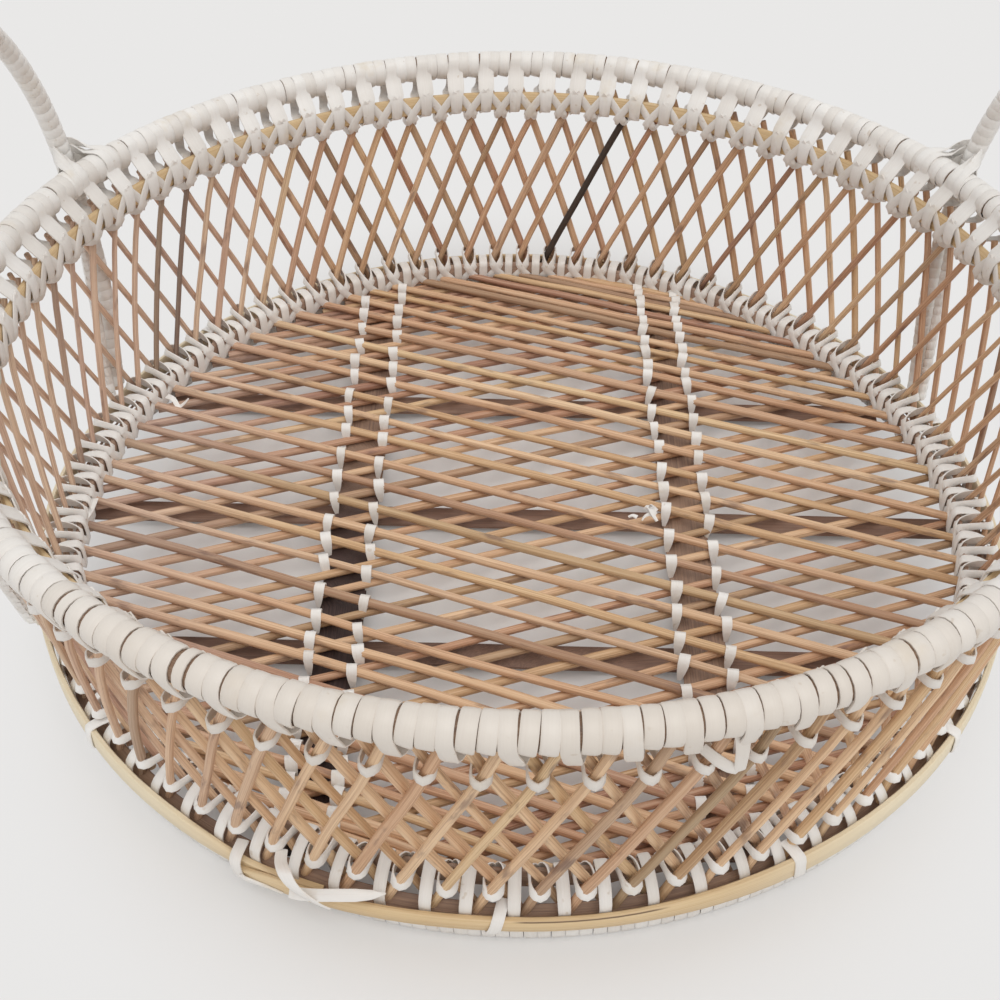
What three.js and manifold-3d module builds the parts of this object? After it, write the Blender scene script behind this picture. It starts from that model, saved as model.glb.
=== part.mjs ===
// Round tray basket of laced rattan rods with two arched side handles.
// Millimetres, +Z up. The origin is the middle of the foot ring, on the surface that it stands on.
// +X points to the right handle and -Y to the near side.
import * as THREE from 'three';
import { mergeVertices } from 'three/addons/utils/BufferGeometryUtils.js';
import Module from 'manifold-3d';

const wasm = await Module();
wasm.setup();

// Fits
const clearance = 0.3; // gap between pieces that touch
const peelSlit = 1; // where a binding's shell is open
const ringFacets = 48; // flat stretches round each hoop and roll
const facetDip = 1 - Math.cos(Math.PI / ringFacets); // dip of a facet's middle, as a share of the radius

// Wall lattice: two layers of straight rods that cross at the nodes
const nodeCount = 83;
const wallRodRadius = 2.1;
const lowerNodeRadius = 213.4;
const lowerNodeGap = 0.2; // from the lower inner hoop up to the lower node circle
const upperNodeInset = 5.75; // from the middle of the rim in to the upper node circle
const upperNodeDrop = 27.8; // from the middle of the rim down to the upper node circle
const rodShift = 2; // nodes that a rod moves along between the lower and the upper node circle
const wallTwist = 0.187; // nodes that the upper circle is turned against the lower one
const firstNodeAngle = 90.6; // degrees, lower node number 0, at the far side
const innerRodShort = 0.2; // how far below the rim's underside the middle of a rod's top end stays
const outerRodShort = 1.1;

// Rim roll and its peel binding
const rimRadius = 231.75;
const rimHeight = 132;
const rimOuterRadius = 7.25;
const rimPeel = 0.95;
const rimSides = 7;
const rimRollSides = 5;

// Flat hoops and the dark band
const hoopThick = 2.4;
const upperHoopTall = 9.8;
const upperHoopDrop = 5.75; // from the rim's underside down to the hoop
const lowerHoopTall = 9.6;
const lowerHoopLift = 0.6; // from the floor rods up to the hoop
const baseHoopTall = 10.5;
const baseHoopLift = 1.7; // from the rods' feet up to the hoop
const baseBandTall = 8;
const baseBandThick = 1;
const baseBandLift = 0.9; // from the rods' feet up to the band

// Foot ring that the basket stands on
const footReach = 1.75; // how far it stands out past the dark band
const footWidth = 9.5;
const footTall = 8;
const footPeel = 1;

// Floor
const floorRodCount = 41;
const floorRodRadius = 2;
const floorTurn = 4.5; // nodes that each floor layer is turned from the front-to-back line
const floorRimWidth = 2;
const slatWidth = 20;
const slatThick = 2.2;
const slatOffset = 79;
const slatTurn = 0.9; // degrees
const crossSlatWidth = 13;
const crossSlatThick = 2.2;
const crossSlatPitch = 88;
const floorTieWidth = 4.6;
const floorTieThick = 0.8;

// Lacing strands inside the two hoops
const lacingWidth = 3.4;
const lacingThick = 0.9;
const lowerLacingLift = 1.6; // the lower strand runs a little above the middle of its hoop
const lacingSwing = 4.6; // how far the strand swings up and down from its middle line

// Ties round the outer base hoop
const hoopTieCount = 14;
const hoopTieWidth = 8;
const hoopTieThick = 0.9;
const hoopTieReach = 2; // how far its two legs reach in over the hoop's edges
const firstHoopTieAngle = 221;

// Handles
const handleTurn = 2; // degrees, both handles are turned from the X axis by this
const handleFootAngle = 21.2; // degrees from the handle's middle, at the base
const handleWaistAngle = 25;
const handleRimAngle = 27;
const handleWaistDrop = 56; // from the middle of the rim down to the waist of a leg
const handleRise = 110;
const handleLean = 0.12; // outward lean of the arch for each millimetre of rise
const legRadius = 4.75; // outside the binding
const legTilt = 0.35; // slope of a leg's cut end, in millimetres for each millimetre of its radius
const rimLegSlack = 0.6; // extra room beside the rim, where a leg passes it at a slant
const handlePeel = 0.9;
const handleSides = 6;
const archPoints = 10; // stretches between the points that shape the arch
const handleSteps = 26; // stretches along the swept handle
const sideStrandRadius = 2.3;
const sideStrandAngle = 2.05; // degrees from the leg towards the handle's middle
const sideStrandShort = 5.25; // how far its top end stays below the rim's underside
const rimLashingTall = 6;
const rimLashingThick = 1;
const rimLashingSlack = 1.3;
const rimLashingBends = 6; // flat stretches round the half turn about the leg

// Loose ends
const yTieAngle = -72.2;
const yTieDrop = 17;
const yTieWidth = 14;
const yTieThick = 0.9;
const yTieStrip = 3.4;
const yTieFork = 0.7; // where the two arms meet the stem, as a share of the drop
const yTieSeat = 0.5; // how far it beds in between the outer rods' ridges
const looseStripAngle = 255;
const looseStripSpan = 11;
const looseStripTall = 3.4;
const looseStripThick = 0.8;
const looseStripSteps = 4;

const nodeStep = (2 * Math.PI) / nodeCount;
const radians = THREE.MathUtils.degToRad;

const peel = { color: 0xe9e5df, roughness: 0.55 };
const rattan = { color: 0xb98a5c, roughness: 0.6 };
const bamboo = { color: 0xd6b887, roughness: 0.5 };
const darkCane = { color: 0x5a473b, roughness: 0.7 };
const greyCane = { color: 0x8a7767, roughness: 0.7 };

const basket = new THREE.Group();

function addPiece(name, geometry, look, parent = basket) {
  const material = new THREE.MeshStandardMaterial({ ...look, metalness: 0 });
  const mesh = new THREE.Mesh(geometry, material);
  mesh.name = name;
  parent.add(mesh);
  return mesh;
}

// A point on a circle of the basket, in cylinder coordinates.
function around(radius, angle, height) {
  return new THREE.Vector3(radius * Math.cos(angle), radius * Math.sin(angle), height);
}

function signedVolume(geometry) {
  const position = geometry.attributes.position;
  const index = geometry.index.array;
  const a = new THREE.Vector3();
  const b = new THREE.Vector3();
  const c = new THREE.Vector3();
  let sum = 0;
  for (let i = 0; i < index.length; i += 3) {
    a.fromBufferAttribute(position, index[i]);
    b.fromBufferAttribute(position, index[i + 1]);
    c.fromBufferAttribute(position, index[i + 2]);
    sum += a.dot(b.cross(c));
  }
  return sum / 6;
}

// One closed skin with shared vertices and outward faces.
function closedSkin(source) {
  source.deleteAttribute('normal');
  source.deleteAttribute('uv');
  const geometry = mergeVertices(source, 1e-4);
  const index = geometry.index.array;
  const position = geometry.attributes.position;
  const kept = [];
  for (let i = 0; i < index.length; i += 3) {
    const [a, b, c] = [index[i], index[i + 1], index[i + 2]];
    if (a !== b && b !== c && a !== c) {
      kept.push(a, b, c);
    }
  }
  geometry.setIndex(kept);
  geometry.setAttribute('position', position);
  if (signedVolume(geometry) < 0) {
    for (let i = 0; i < kept.length; i += 3) {
      [kept[i + 1], kept[i + 2]] = [kept[i + 2], kept[i + 1]];
    }
    geometry.setIndex(kept);
  }
  return geometry;
}

function toSolid(geometry) {
  const skin = closedSkin(geometry);
  const mesh = new wasm.Mesh({
    numProp: 3,
    vertProperties: new Float32Array(skin.attributes.position.array),
    triVerts: new Uint32Array(skin.index.array),
  });
  return new wasm.Manifold(mesh);
}

function toGeometry(solid) {
  const mesh = solid.getMesh();
  const geometry = new THREE.BufferGeometry();
  geometry.setAttribute('position', new THREE.BufferAttribute(new Float32Array(mesh.vertProperties), 3));
  geometry.setIndex(Array.from(mesh.triVerts));
  return geometry;
}

function joined(geometries) {
  let whole = toSolid(geometries[0]);
  for (const geometry of geometries.slice(1)) {
    whole = whole.add(toSolid(geometry));
  }
  return toGeometry(whole);
}

// A ring about the Z axis. The outline is a list of [radius, height] corners.
function ring(outline, facets = ringFacets) {
  const corners = outline.map(([radius, height]) => new THREE.Vector2(radius, height));
  corners.push(corners[0].clone());
  const lathe = new THREE.LatheGeometry(corners, facets);
  lathe.rotateX(Math.PI / 2);
  return closedSkin(lathe);
}

function flatRing(innerRadius, outerRadius, base, top, facets) {
  return ring([[innerRadius, base], [outerRadius, base], [outerRadius, top], [innerRadius, top]], facets);
}

// The outline of a round shell with a slit on the given side, as [x, y] corners.
function slitShell(innerRadius, outerRadius, slitAngle, slitWidth, sides) {
  const half = slitWidth / 2 / innerRadius;
  const corners = [];
  for (const [radius, forwards] of [[outerRadius, true], [innerRadius, false]]) {
    for (let i = 0; i <= sides; i += 1) {
      const share = forwards ? i / sides : 1 - i / sides;
      const angle = slitAngle + half + share * (2 * Math.PI - 2 * half);
      corners.push([radius * Math.cos(angle), radius * Math.sin(angle)]);
    }
  }
  return corners;
}

// The radius of the roll that fits inside a shell of flat sides.
function rollInside(outerRadius, thickness, sides) {
  return (outerRadius - thickness) * Math.cos(Math.PI / sides) - clearance;
}

function polygonCorners(radius, sides) {
  const corners = [];
  for (let i = 0; i < sides; i += 1) {
    const angle = ((i + 0.5) / sides) * 2 * Math.PI;
    corners.push([radius * Math.cos(angle), radius * Math.sin(angle)]);
  }
  return corners;
}

// A straight rod with four flat sides between two points.
function rodBetween(start, end, radius) {
  const along = end.clone().sub(start);
  const rod = new THREE.CylinderGeometry(radius, radius, along.length(), 4, 1);
  const upright = new THREE.Vector3(0, 1, 0);
  const turn = new THREE.Quaternion().setFromUnitVectors(upright, along.clone().normalize());
  rod.applyQuaternion(turn);
  const middle = start.clone().add(end).multiplyScalar(0.5);
  rod.translate(middle.x, middle.y, middle.z);
  return rod;
}

function shapeOf(corners) {
  return new THREE.Shape(corners.map(([x, y]) => new THREE.Vector2(x, y)));
}

function sweep(corners, path, steps) {
  const options = { steps, bevelEnabled: false, extrudePath: path };
  return closedSkin(new THREE.ExtrudeGeometry(shapeOf(corners), options));
}

// Heights, from the foot up to the rim

const rodFoot = footTall + clearance;
const lowerFloorHeight = rodFoot + floorRodRadius;
const upperFloorHeight = lowerFloorHeight + 2 * floorRodRadius + clearance;
const floorTop = upperFloorHeight + floorRodRadius;
const lowerHoopBase = floorTop + lowerHoopLift;
const lowerNodeHeight = lowerHoopBase + lowerHoopTall + lowerNodeGap;
const baseBandBase = rodFoot + baseBandLift;
const baseBandTop = baseBandBase + baseBandTall;
const baseHoopBase = rodFoot + baseHoopLift;
const baseHoopTop = baseHoopBase + baseHoopTall;
const rimUnderside = rimHeight - rimOuterRadius;
const upperHoopBase = rimUnderside - upperHoopDrop - upperHoopTall;
const upperNodeHeight = rimHeight - upperNodeDrop;

// Wall lattice

const upperNodeRadius = rimRadius - upperNodeInset;
const wallSlope = (upperNodeRadius - lowerNodeRadius) / (upperNodeHeight - lowerNodeHeight);

// The wall leans out evenly; this is the radius of the middle between its two layers of rods.
function wallRadius(height) {
  return lowerNodeRadius + wallSlope * (height - lowerNodeHeight);
}

const layerOffset = wallRodRadius + clearance;
const wallHalfThickness = layerOffset + wallRodRadius;

// A node's direction at the lower node circle.
function lowerNodeAngle(node) {
  return radians(firstNodeAngle) - node * nodeStep;
}

// The direction of a rod at any height, when it starts from a lower node.
function rodAngle(node, shift, height) {
  const rise = (height - lowerNodeHeight) / (upperNodeHeight - lowerNodeHeight);
  return lowerNodeAngle(node) - (shift + wallTwist) * nodeStep * rise;
}

// A straight rod lies inside the cone between its ends; this is by how much at most.
function chordDip(shift, top) {
  const turn = Math.abs(rodAngle(0, shift, top) - rodAngle(0, shift, rodFoot));
  return wallRadius(top) * (1 - Math.cos(turn / 2));
}

function wallLayer(shift, offset, top) {
  const low = rodFoot + wallRodRadius / 2;
  const hoopRadius = wallRadius(low) + offset;
  const half = wallRodRadius + clearance / 4;
  const hoop = flatRing(hoopRadius - half, hoopRadius + half, rodFoot, rodFoot + wallRodRadius, nodeCount);
  hoop.rotateZ(rodAngle(0, shift, rodFoot) + nodeStep / 2);
  const parts = [hoop];
  for (let node = 0; node < nodeCount; node += 1) {
    const start = around(wallRadius(low) + offset, rodAngle(node, shift, low), low);
    const end = around(wallRadius(top) + offset, rodAngle(node, shift, top), top);
    parts.push(rodBetween(start, end, wallRodRadius));
  }
  return joined(parts);
}

const innerRodTop = rimUnderside - innerRodShort;
const outerRodTop = rimUnderside - outerRodShort;
addPiece('inner_wall_rods', wallLayer(rodShift, -layerOffset, innerRodTop), rattan);
addPiece('outer_wall_rods', wallLayer(-rodShift, layerOffset, outerRodTop), rattan);

// Rim

const onRim = ([x, y]) => [rimRadius + x, rimHeight + y];
const rimRollRadius = rollInside(rimOuterRadius, rimPeel, rimSides);
addPiece('rim_roll', ring(polygonCorners(rimRollRadius, rimRollSides).map(onRim)), rattan);
const rimShell = slitShell(rimOuterRadius - rimPeel, rimOuterRadius, -Math.PI / 2, peelSlit, rimSides);
addPiece('rim_binding', ring(rimShell.map(onRim)), peel);

// Hoops inside the wall

const innerDip = chordDip(rodShift, innerRodTop);

// The radius of an upright hoop inside the leaning rods, which touches them where the wall is narrowest.
function innerHoopRadius(base, tall) {
  const narrowest = Math.min(wallRadius(base), wallRadius(base + tall));
  return narrowest - wallHalfThickness - innerDip / 2 - clearance;
}

const upperHoopRadius = innerHoopRadius(upperHoopBase, upperHoopTall);
const lowerHoopRadius = innerHoopRadius(lowerHoopBase, lowerHoopTall);

function hoop(outerRadius, base, tall) {
  return flatRing(outerRadius - hoopThick, outerRadius, base, base + tall);
}

addPiece('upper_inner_hoop', hoop(upperHoopRadius, upperHoopBase, upperHoopTall), bamboo);
addPiece('lower_inner_hoop', hoop(lowerHoopRadius, lowerHoopBase, lowerHoopTall), greyCane);

// A strand that swings up and down between the nodes on the inner face of a hoop.
function lacing(hoopRadius, middle, twist) {
  const outer = (hoopRadius - hoopThick) * (1 - facetDip) - clearance;
  const inner = outer - lacingThick;
  const stations = nodeCount * 2;
  const points = [];
  const faces = [];
  for (let i = 0; i < stations; i += 1) {
    const angle = lowerNodeAngle((i + 1) / 2) - twist * nodeStep;
    const height = middle + (i % 2 === 0 ? lacingSwing : -lacingSwing);
    for (const [radius, side] of [[inner, -1], [outer, -1], [outer, 1], [inner, 1]]) {
      const corner = around(radius, angle, height + (side * lacingWidth) / 2);
      points.push(corner.x, corner.y, corner.z);
    }
    const here = i * 4;
    const next = ((i + 1) % stations) * 4;
    for (let k = 0; k < 4; k += 1) {
      const l = (k + 1) % 4;
      faces.push(here + k, next + k, next + l, here + k, next + l, here + l);
    }
  }
  const geometry = new THREE.BufferGeometry();
  geometry.setAttribute('position', new THREE.Float32BufferAttribute(points, 3));
  geometry.setIndex(faces);
  return closedSkin(geometry);
}

const upperLacingHeight = upperHoopBase + upperHoopTall / 2;
const lowerLacingHeight = lowerHoopBase + lowerHoopTall / 2 + lowerLacingLift;
addPiece('upper_lacing', lacing(upperHoopRadius, upperLacingHeight, wallTwist), peel);
addPiece('lower_lacing', lacing(lowerHoopRadius, lowerLacingHeight, 0), peel);

// Base band, base hoop and its ties

// The dark band leans with the wall; this is the radius of its outer face.
function bandRadius(height) {
  return (wallRadius(height) + wallHalfThickness + clearance) / (1 - facetDip) + baseBandThick;
}

addPiece(
  'dark_base_band',
  ring([
    [bandRadius(baseBandBase) - baseBandThick, baseBandBase],
    [bandRadius(baseBandBase), baseBandBase],
    [bandRadius(baseBandTop), baseBandTop],
    [bandRadius(baseBandTop) - baseBandThick, baseBandTop],
  ]),
  darkCane,
);
const bandWidest = Math.max(bandRadius(baseHoopBase), bandRadius(baseHoopTop));
const baseHoopRadius = (bandWidest + clearance) / (1 - facetDip) + hoopThick;
addPiece('outer_base_hoop', hoop(baseHoopRadius, baseHoopBase, baseHoopTall), bamboo);

// A white strip round the hoop, open towards the band behind it.
function hoopTie(angle) {
  const outer = baseHoopRadius + clearance;
  const inner = outer - hoopTieReach;
  const low = baseHoopBase - clearance;
  const high = baseHoopTop + clearance;
  const corners = [
    [inner, low - hoopTieThick],
    [outer + hoopTieThick, low - hoopTieThick],
    [outer + hoopTieThick, high + hoopTieThick],
    [inner, high + hoopTieThick],
    [inner, high],
    [outer, high],
    [outer, low],
    [inner, low],
  ];
  const strip = new THREE.ExtrudeGeometry(shapeOf(corners), { depth: hoopTieWidth, bevelEnabled: false });
  strip.translate(0, 0, -hoopTieWidth / 2);
  strip.rotateX(Math.PI / 2);
  strip.rotateZ(angle);
  return closedSkin(strip);
}

for (let i = 0; i < hoopTieCount; i += 1) {
  const angle = radians(firstHoopTieAngle) + (i * 2 * Math.PI) / hoopTieCount;
  addPiece(`base_hoop_tie_${String(i + 1).padStart(2, '0')}`, hoopTie(angle), peel);
}

// Foot ring: a roll with its peel binding, which is open on its inner side

const footOuterRadius = bandRadius(baseBandBase) + footReach;
const footInnerRadius = footOuterRadius - footWidth;
const footRoll = footPeel + clearance;
addPiece(
  'foot_roll',
  flatRing(
    footInnerRadius,
    (footOuterRadius - footPeel) * (1 - facetDip) - clearance,
    footRoll,
    footTall - footRoll,
  ),
  rattan,
);
addPiece(
  'foot_binding',
  ring([
    [footInnerRadius, 0],
    [footOuterRadius, 0],
    [footOuterRadius, footTall],
    [footInnerRadius, footTall],
    [footInnerRadius, footTall - footPeel],
    [footOuterRadius - footPeel, footTall - footPeel],
    [footOuterRadius - footPeel, footPeel],
    [footInnerRadius, footPeel],
  ]),
  peel,
);

// Floor: two layers of rods that end at the lattice nodes, on slats

const wallFootInner = Math.min(wallRadius(rodFoot), wallRadius(floorTop)) - wallHalfThickness - innerDip;
const floorRadius = wallFootInner * (1 - facetDip) - clearance;

// Parallel rods whose ends lie evenly round the floor, one end for each node of the wall.
function floorLayer(turn, height) {
  const rimMiddle = floorRadius - floorRimWidth / 2;
  const low = height - floorRodRadius;
  const parts = [flatRing(floorRadius - floorRimWidth, floorRadius, low, low + 2 * floorRodRadius)];
  const axis = lowerNodeAngle(0) + turn * nodeStep;
  const square = Math.sqrt(2);
  for (let i = 1; i < floorRodCount; i += 1) {
    const spread = (i + 0.5) * nodeStep;
    const start = around(rimMiddle, axis + spread, height);
    const end = around(rimMiddle, axis - spread, height);
    const length = start.distanceTo(end);
    const rod = new THREE.BoxGeometry(length, square * floorRodRadius, 2 * (floorRodRadius - clearance / 4));
    rod.rotateZ(axis + Math.PI / 2);
    const middle = start.clone().add(end).multiplyScalar(0.5);
    rod.translate(middle.x, middle.y, height);
    parts.push(rod);
  }
  return joined(parts);
}

addPiece('upper_floor_rods', floorLayer(-floorTurn, upperFloorHeight), rattan);
addPiece('lower_floor_rods', floorLayer(floorTurn, lowerFloorHeight), rattan);

// Half the length of a strip across the floor at a distance from the middle.
function halfChord(radius, distance) {
  return Math.sqrt(radius * radius - distance * distance);
}

const slatRadius = footInnerRadius * (1 - facetDip) - clearance;
const slatTop = rodFoot - clearance;
const slatHalf = halfChord(slatRadius, slatOffset + slatWidth / 2 + clearance);
const slatHeight = slatTop - slatThick / 2;
const slats = new THREE.Group();
slats.rotation.z = radians(slatTurn);
basket.add(slats);
for (const [name, side] of [['left_floor_slat', -1], ['right_floor_slat', 1]]) {
  const slat = closedSkin(new THREE.BoxGeometry(slatWidth, 2 * slatHalf, slatThick));
  addPiece(name, slat, darkCane, slats).position.set(side * slatOffset, 0, slatHeight);
}
const crossSlatHeight = slatHeight - slatThick / 2 - clearance - crossSlatThick / 2;
for (const [name, row] of [['near', -1], ['middle', 0], ['far', 1]]) {
  const distance = row * crossSlatPitch;
  const half = halfChord(slatRadius, Math.abs(distance) + crossSlatWidth / 2);
  const slat = closedSkin(new THREE.BoxGeometry(2 * half, crossSlatWidth, crossSlatThick));
  addPiece(`${name}_cross_slat`, slat, greyCane).position.set(0, distance, crossSlatHeight);
}

// One white tie strand lies on the rods over each edge of the two slats.
const tieBase = floorTop + clearance;
const tieRadius = (lowerHoopRadius - hoopThick) * (1 - facetDip) - lacingThick - 3 * clearance;
const tieHalf = halfChord(tieRadius, slatOffset + slatWidth / 2 + floorTieWidth / 2);
const tieOffsets = [-slatOffset - slatWidth / 2, -slatOffset + slatWidth / 2];
tieOffsets.push(slatOffset - slatWidth / 2, slatOffset + slatWidth / 2);
for (const [i, offset] of tieOffsets.entries()) {
  const strand = closedSkin(new THREE.BoxGeometry(floorTieWidth, 2 * tieHalf, floorTieThick));
  addPiece(`floor_tie_${i + 1}`, strand, peel, slats).position.set(offset, 0, tieBase + floorTieThick / 2);
}

// Handles

const legGap = legRadius + clearance;
const rimLegRadius = rimRadius + rimOuterRadius + legGap + rimLegSlack;

// The middle line of one handle, as if it stood on the +X side.
function handlePath() {
  const footHeight = baseHoopTop + clearance + legRadius * legTilt;
  const footRadius = bandRadius(baseBandTop) + legGap;
  const waistHeight = rimHeight - handleWaistDrop;
  const waistRadius = wallRadius(waistHeight) + wallHalfThickness + legGap;
  const rimPoint = around(rimLegRadius, radians(handleRimAngle), rimHeight);
  const leg = [
    around(footRadius, radians(handleFootAngle), footHeight),
    around(waistRadius, radians(handleWaistAngle), waistHeight),
  ];
  const arch = [];
  for (let i = 0; i <= archPoints; i += 1) {
    const angle = (i / archPoints) * Math.PI;
    const rise = handleRise * Math.sin(angle);
    const outwards = rimPoint.x + handleLean * rise;
    arch.push(new THREE.Vector3(outwards, rimPoint.y * Math.cos(angle), rimHeight + rise));
  }
  const mirrored = leg.map((point) => new THREE.Vector3(point.x, -point.y, point.z)).reverse();
  return new THREE.CatmullRomCurve3([...leg, ...arch, ...mirrored], false, 'centripetal');
}

// A strap that ties the leg to the outside of the rim, with its two ends on the rim.
function rimLashing(legPoint) {
  const inner = legRadius + rimLashingSlack;
  const outer = inner + rimLashingThick;
  const away = Math.hypot(legPoint.x, legPoint.y);
  const rimFace = rimRadius + rimOuterRadius + clearance - away;
  const corners = [[rimFace, -outer]];
  for (let i = 0; i <= rimLashingBends; i += 1) {
    const angle = (i / rimLashingBends - 0.5) * Math.PI;
    corners.push([outer * Math.cos(angle), outer * Math.sin(angle)]);
  }
  corners.push([rimFace, outer], [rimFace, inner]);
  for (let i = rimLashingBends; i >= 0; i -= 1) {
    const angle = (i / rimLashingBends - 0.5) * Math.PI;
    corners.push([inner * Math.cos(angle), inner * Math.sin(angle)]);
  }
  corners.push([rimFace, -inner]);
  const strap = new THREE.ExtrudeGeometry(shapeOf(corners), { depth: rimLashingTall, bevelEnabled: false });
  strap.translate(away, 0, rimHeight - rimLashingTall / 2);
  strap.rotateZ(Math.atan2(legPoint.y, legPoint.x));
  return closedSkin(strap);
}

function addHandle(side, turn) {
  const handle = new THREE.Group();
  handle.rotation.z = turn;
  basket.add(handle);
  const path = handlePath();
  const caneRadius = rollInside(legRadius, handlePeel, handleSides);
  addPiece(`${side}_handle_cane`, sweep(polygonCorners(caneRadius, handleSides), path, handleSteps), rattan, handle);
  const shell = slitShell(legRadius - handlePeel, legRadius, 0, peelSlit, handleSides);
  addPiece(`${side}_handle_binding`, sweep(shell, path, handleSteps), peel, handle);
  const strandLow = baseHoopTop + clearance + sideStrandRadius * legTilt;
  const strandGap = sideStrandRadius + clearance;
  const strandFoot = bandRadius(baseBandTop) + strandGap;
  const strandTop = rimUnderside - sideStrandShort;
  const strandHead = wallRadius(strandTop) + wallHalfThickness + strandGap;
  for (const [end, way] of [['far', 1], ['near', -1]]) {
    const mirroredEnd = side === 'left' ? -way : way;
    const footAngle = mirroredEnd * radians(handleFootAngle - sideStrandAngle);
    const headAngle = mirroredEnd * radians(handleRimAngle - sideStrandAngle);
    const start = around(strandFoot, footAngle, strandLow);
    const stop = around(strandHead, headAngle, strandTop);
    const strand = sweep(polygonCorners(sideStrandRadius, handleSides), new THREE.LineCurve3(start, stop), 1);
    addPiece(`${side}_handle_${end}_side_strand`, strand, peel, handle);
    const crossing = around(rimLegRadius, mirroredEnd * radians(handleRimAngle), rimHeight);
    addPiece(`${side}_handle_${end}_rim_lashing`, rimLashing(crossing), peel, handle);
  }
}

addHandle('right', radians(handleTurn));
addHandle('left', radians(180 + handleTurn));

// The forked tie under the near rim, flat against the outer rods
function forkedTie() {
  const half = yTieWidth / 2;
  const corners = [
    [-half, 0],
    [-half + yTieStrip, 0],
    [0, -yTieDrop / 2],
    [half - yTieStrip, 0],
    [half, 0],
    [yTieStrip / 2, -yTieDrop * yTieFork],
    [yTieStrip / 2, -yTieDrop],
    [-yTieStrip / 2, -yTieDrop],
    [-yTieStrip / 2, -yTieDrop * yTieFork],
  ];
  const plate = new THREE.ExtrudeGeometry(shapeOf(corners), { depth: yTieThick, bevelEnabled: false });
  plate.rotateX(Math.PI / 2);
  plate.rotateZ(Math.PI / 2);
  const top = rimUnderside - clearance;
  plate.rotateY(Math.atan(wallSlope));
  plate.translate(wallRadius(top) + wallHalfThickness - yTieSeat, 0, top);
  plate.rotateZ(radians(yTieAngle));
  return closedSkin(plate);
}

addPiece('near_rim_forked_tie', forkedTie(), peel);

// The loose end of a peel strip, along the outside of the base hoop
function looseStrip() {
  const radius = baseHoopRadius + clearance + looseStripThick / 2;
  const middle = baseHoopBase + looseStripTall;
  const half = radians(looseStripSpan) / 2;
  const points = [];
  for (let i = 0; i <= looseStripSteps; i += 1) {
    const along = (2 * i) / looseStripSteps - 1;
    points.push(around(radius, radians(looseStripAngle) + half * along, middle));
  }
  const path = new THREE.CatmullRomCurve3(points);
  const flat = [
    [-looseStripTall / 2, -looseStripThick / 2],
    [looseStripTall / 2, -looseStripThick / 2],
    [looseStripTall / 2, looseStripThick / 2],
    [-looseStripTall / 2, looseStripThick / 2],
  ];
  return sweep(flat, path, looseStripSteps);
}

addPiece('loose_strip_end', looseStrip(), peel);

export default basket;
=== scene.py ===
"""A round tray basket of laced rattan rods, with peel-wrapped rim, foot and handles, on a pale floor."""
import math
import random

import bmesh
import bpy
from mathutils import Matrix, Vector, noise


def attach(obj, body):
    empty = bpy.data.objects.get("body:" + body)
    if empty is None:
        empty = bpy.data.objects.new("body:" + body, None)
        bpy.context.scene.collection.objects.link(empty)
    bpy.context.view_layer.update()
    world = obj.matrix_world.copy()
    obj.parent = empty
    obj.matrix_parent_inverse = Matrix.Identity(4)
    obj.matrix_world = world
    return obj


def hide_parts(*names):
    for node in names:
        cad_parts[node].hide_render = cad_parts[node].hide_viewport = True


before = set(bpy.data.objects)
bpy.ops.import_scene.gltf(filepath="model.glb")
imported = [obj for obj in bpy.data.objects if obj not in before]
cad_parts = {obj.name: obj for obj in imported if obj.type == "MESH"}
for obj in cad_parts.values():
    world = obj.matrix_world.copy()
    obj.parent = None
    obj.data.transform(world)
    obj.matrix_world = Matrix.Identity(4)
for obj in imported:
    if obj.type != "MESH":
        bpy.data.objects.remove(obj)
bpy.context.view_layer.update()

# Lengths below are in millimetres and become metres when a piece is finished.
MM = 0.001
UP = Vector((0, 0, 1))
CLEARANCE = 0.3  # between canes that touch
PAPER = 233, 232, 231  # the pale background's colour on a screen

# Wall lattice
NODES = 83
STEP = 2 * math.pi / NODES
FIRST_NODE = math.radians(90.6)
TWIST = 0.187  # nodes that the upper circle is turned against the lower one
ROD_SHIFT = 2  # nodes that a rod moves along between the two circles
LOWER_NODE_RADIUS = 213.4
LOWER_NODE_HEIGHT = 27
UPPER_NODE_RADIUS = 226
UPPER_NODE_HEIGHT = 104.2
LAYER_OFFSET = 2.4  # of each layer of rods from the middle of the wall
WALL_HALF = 4.5
ROD_RADIUS = 1.98
ROD_SIDES = 9
ROD_STEPS = 8
ROD_FOOT = 8.3
ROD_TOP = 121
ROD_REACH = 212.2, 225.8  # the rods' ends straighten up against the base and the upper hoop

# Weathered rods, by their lower node, and how dark each one is
DARK_INNER_RODS = {1: 0.97, 68: 0.5, 69: 0.62, 63: 0.3, 79: 0.18, 80: 0.25, 7: 0.2}
DARK_OUTER_RODS = {20: 0.4, 51: 0.35, 39: 0.42, 38: 0.15, 81: 0.22, 7: 0.2}

# Rim, hoops and foot
RING_STEPS = 166
HOOP_STEPS = 180
RIM_RADIUS = 231.75
RIM_HEIGHT = 132
RIM_ROLL = 6.7  # outside the binding
TURNS_PER_NODE = 3
PEEL = 0.95
THIN_PEEL = 0.8
LACING_WIDTH = 4.1
HOOP_THICK = 2.4
UPPER_HOOP_RADIUS = 221.1
UPPER_HOOP_BASE = 111
UPPER_HOOP_TALL = 9.8
LOWER_HOOP_RADIUS = 205.5
LOWER_HOOP_BASE = 12.6
LOWER_HOOP_TOP = 22.4
BASE_HOOP_RADIUS = 221.8
BASE_HOOP_BASE = 10
BASE_HOOP_TALL = 10.5
BAND_WIDTH = 7.1
BAND_THICK = 1
BAND_RADIUS = 215.75
BAND_HEIGHT = 12.2
BAND_LEAN = -0.82
FOOT_RADIUS = 219.4
FOOT_WIDTH = 9
FOOT_TALL = 8
FOOT_CORE = 2.9
FOOT_WRAPS = 274
HOOP_TIES = 14
FIRST_HOOP_TIE = 221  # degrees

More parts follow.
